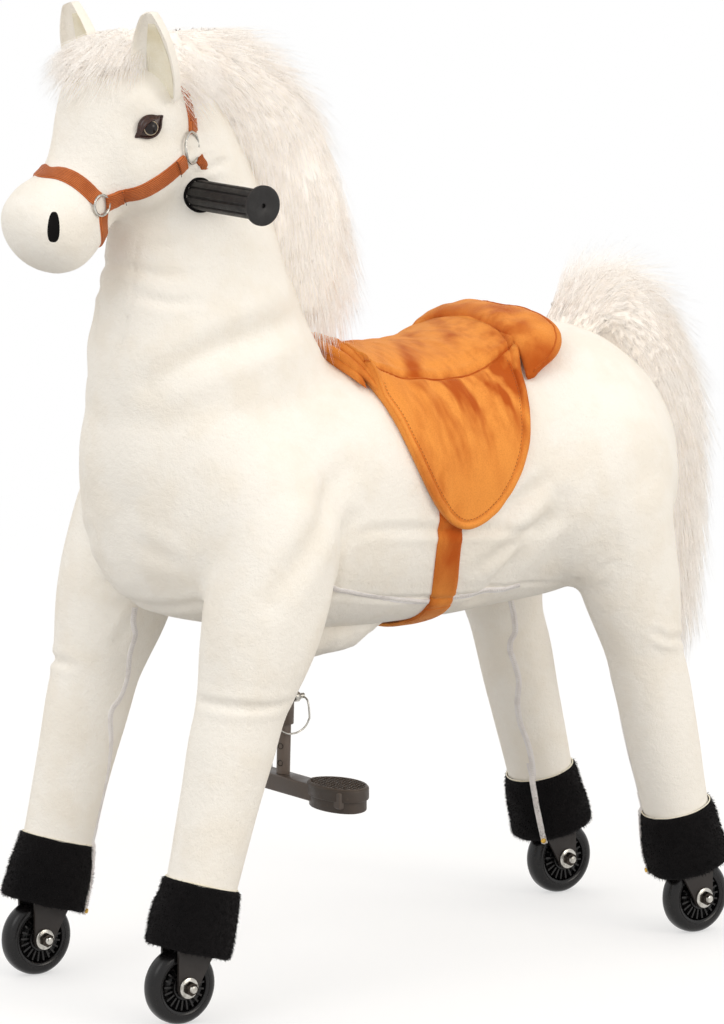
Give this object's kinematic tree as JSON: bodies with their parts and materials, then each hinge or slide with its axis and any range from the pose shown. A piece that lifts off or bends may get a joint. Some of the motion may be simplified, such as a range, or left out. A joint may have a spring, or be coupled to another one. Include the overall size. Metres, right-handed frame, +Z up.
{
  "type": "ride-on plush horse",
  "caption": "Ride-on plush horse with saddle, halter, hand grips in a steering neck, a foot stirrup and swinging legs on small wheels.",
  "frame": {"origin": "floor, under the middle of the standing horse", "axes": "+Z up, -Y the way the horse faces, +X its left side"},
  "size_m": [0.3736, 0.8863, 1.0231],
  "materials": {
    "plush_white": "short pile",
    "fur_white": "long pile",
    "plush_black": "short pile",
    "velvet_orange": "velvet",
    "webbing_orange": "woven",
    "painted_steel": "satin",
    "zinc_steel": "plated",
    "spring_steel": "oiled",
    "plywood": "sanded",
    "grip_rubber": "moulded",
    "pedal_plastic": "moulded",
    "fork_plastic": "moulded",
    "wheel_urethane": "smooth",
    "eye_gloss": "polished"
  },
  "bodies": {
    "torso": {"torso_cover": "plush_white", "main_frame": "painted_steel", "seat_board": "plywood", "shoulder_pin": "zinc_steel", "hip_pin": "zinc_steel", "return_spring": "spring_steel", "saddle_seat": "velvet_orange", "saddle_pommel": "velvet_orange", "saddle_cantle": "velvet_orange", "saddle_flap_left": "velvet_orange", "saddle_flap_right": "velvet_orange", "girth_strap": "velvet_orange", "tail": "fur_white"},
    "neck": {"neck_cover": "plush_white", "head_cover": "plush_white", "ear_left": "plush_white", "ear_right": "plush_white", "eye_left": "eye_gloss", "eye_right": "eye_gloss", "mane": "fur_white", "forelock": "fur_white", "handlebar": "painted_steel", "grip_left": "grip_rubber", "grip_right": "grip_rubber", "noseband": "webbing_orange", "cheek_strap_left": "webbing_orange", "cheek_strap_right": "webbing_orange", "crown_strap": "webbing_orange", "jaw_strap": "webbing_orange", "halter_ring_left": "zinc_steel", "halter_ring_right": "zinc_steel"},
    "front_legs": {"front_leg_frame": "painted_steel", "front_left_leg_cover": "plush_white", "front_right_leg_cover": "plush_white", "front_left_hoof_cuff": "plush_black", "front_right_hoof_cuff": "plush_black", "belly_boot": "plush_white", "stirrup_sleeve": "painted_steel", "stirrup_post": "painted_steel", "lock_pin": "zinc_steel", "foot_bar": "painted_steel", "pedal_left": "pedal_plastic", "pedal_right": "pedal_plastic"},
    "rear_legs": {"rear_leg_frame": "painted_steel", "rear_left_leg_cover": "plush_white", "rear_right_leg_cover": "plush_white", "rear_left_hoof_cuff": "plush_black", "rear_right_hoof_cuff": "plush_black", "rear_left_fork": "fork_plastic", "rear_right_fork": "fork_plastic", "rear_left_axle_bolt": "zinc_steel", "rear_right_axle_bolt": "zinc_steel"},
    "front_left_fork": {"front_left_fork": "fork_plastic", "front_left_axle_bolt": "zinc_steel"},
    "front_right_fork": {"front_right_fork": "fork_plastic", "front_right_axle_bolt": "zinc_steel"},
    "front_left_wheel": {"front_left_wheel": "wheel_urethane"},
    "front_right_wheel": {"front_right_wheel": "wheel_urethane"},
    "rear_left_wheel": {"rear_left_wheel": "wheel_urethane"},
    "rear_right_wheel": {"rear_right_wheel": "wheel_urethane"}
  },
  "joints": [
    {"name": "steering", "type": "hinge", "parent": "torso", "child": "neck", "pos_m": [0, -0.25, 0.685], "axis": [0, 0, 1], "range_deg": [-15, 15]},
    {"name": "front_legs_swing", "type": "hinge", "parent": "torso", "child": "front_legs", "pos_m": [0, -0.204, 0.5], "axis": [-1, 0, 0], "range_deg": [0, 10], "stiffness_Nm_per_rad": 80, "springref_deg": -22.92},
    {"name": "rear_legs_swing", "type": "hinge", "parent": "torso", "child": "rear_legs", "pos_m": [0, 0.23, 0.5], "axis": [1, 0, 0], "range_deg": [0, 10]},
    {"name": "front_left_steer", "type": "hinge", "parent": "front_legs", "child": "front_left_fork", "pos_m": [0.1333, -0.331, 0.04], "axis": [0, 0.2661, 0.9639], "range_deg": [-15, 15]},
    {"name": "front_right_steer", "type": "hinge", "parent": "front_legs", "child": "front_right_fork", "pos_m": [-0.1333, -0.331, 0.04], "axis": [0, 0.2661, 0.9639], "range_deg": [-15, 15]},
    {"name": "front_left_roll", "type": "hinge", "parent": "front_left_fork", "child": "front_left_wheel", "pos_m": [0.1333, -0.331, 0.04], "axis": [1, 0, 0], "continuous": true},
    {"name": "front_right_roll", "type": "hinge", "parent": "front_right_fork", "child": "front_right_wheel", "pos_m": [-0.1333, -0.331, 0.04], "axis": [1, 0, 0], "continuous": true},
    {"name": "rear_left_roll", "type": "hinge", "parent": "rear_legs", "child": "rear_left_wheel", "pos_m": [0.1203, 0.351, 0.04], "axis": [1, 0, 0], "continuous": true},
    {"name": "rear_right_roll", "type": "hinge", "parent": "rear_legs", "child": "rear_right_wheel", "pos_m": [-0.1203, 0.351, 0.04], "axis": [1, 0, 0], "continuous": true}
  ],
  "couplings": [
    {"joint": "front_left_steer", "follows": "steering", "ratio": 1},
    {"joint": "front_right_steer", "follows": "steering", "ratio": 1},
    {"joint": "rear_legs_swing", "follows": "front_legs_swing", "ratio": 1}
  ]
}
